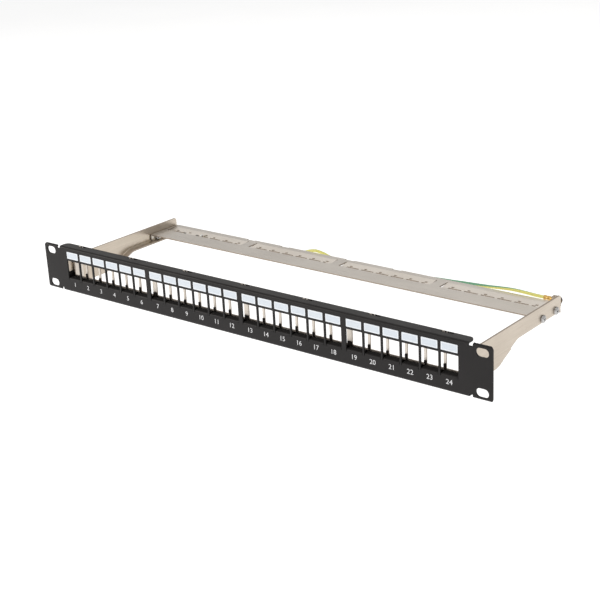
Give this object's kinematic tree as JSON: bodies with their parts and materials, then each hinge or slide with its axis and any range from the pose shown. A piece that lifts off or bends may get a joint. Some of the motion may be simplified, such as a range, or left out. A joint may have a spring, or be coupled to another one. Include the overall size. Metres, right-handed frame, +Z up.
{
  "type": "patch panel",
  "caption": "Flat rack-mount patch panel with rows of snap-in jack openings, label windows, two side brackets and a rear cable bar with a ground lead.",
  "frame": {"origin": "centre of the panel sheet's back face, the plane that meets the rack rails", "axes": "+X along the panel (to the right for someone facing the front), +Y from the front to the rear, +Z up"},
  "size_m": [0.4826, 0.1548, 0.0439],
  "materials": {
    "panel_paint": "satin black powder coat with a fine texture",
    "comb_black": "matt black steel",
    "panel_print": "white printed ink",
    "label_card": "smooth white label stock",
    "plated_steel": "plain plated sheet steel with a faint rolling grain",
    "zinc": "zinc-plated fastener",
    "dark_zinc": "dark plated fastener",
    "brass": "tarnished brass",
    "wire_sleeve": "green and yellow striped PVC",
    "nylon": "natural nylon"
  },
  "bodies": {
    "root": {"bar_nut_left_front": "zinc", "bar_nut_left_rear": "zinc", "bar_nut_right_front": "zinc", "bar_nut_right_rear": "zinc", "bar_screw_left_front": "zinc", "bar_screw_left_rear": "zinc", "bar_screw_right_front": "zinc", "bar_screw_right_rear": "zinc", "bracket_left": "plated_steel", "bracket_right": "plated_steel", "cable_bar": "plated_steel", "earth_screw": "dark_zinc", "earth_washer": "dark_zinc", "frame_rivet_left_lower": "zinc", "frame_rivet_left_upper": "zinc", "frame_rivet_right_lower": "zinc", "frame_rivet_right_upper": "zinc", "front_panel": "panel_paint", "ground_frame": "plated_steel", "ground_wire": "wire_sleeve", "hank_tie": "nylon", "label_strip_1": "label_card", "label_strip_2": "label_card", "label_strip_3": "label_card", "label_strip_4": "label_card", "latch_comb_1": "comb_black", "latch_comb_2": "comb_black", "latch_comb_3": "comb_black", "latch_comb_4": "comb_black", "panel_stud_left_lower": "zinc", "panel_stud_left_upper": "zinc", "panel_stud_right_lower": "zinc", "panel_stud_right_upper": "zinc", "ring_terminal_far": "brass", "ring_terminal_near": "brass", "stud_nut_left_lower": "zinc", "stud_nut_left_upper": "zinc", "stud_nut_right_lower": "zinc", "stud_nut_right_upper": "zinc", "wire_hank": "wire_sleeve"}
  },
  "joints": []
}
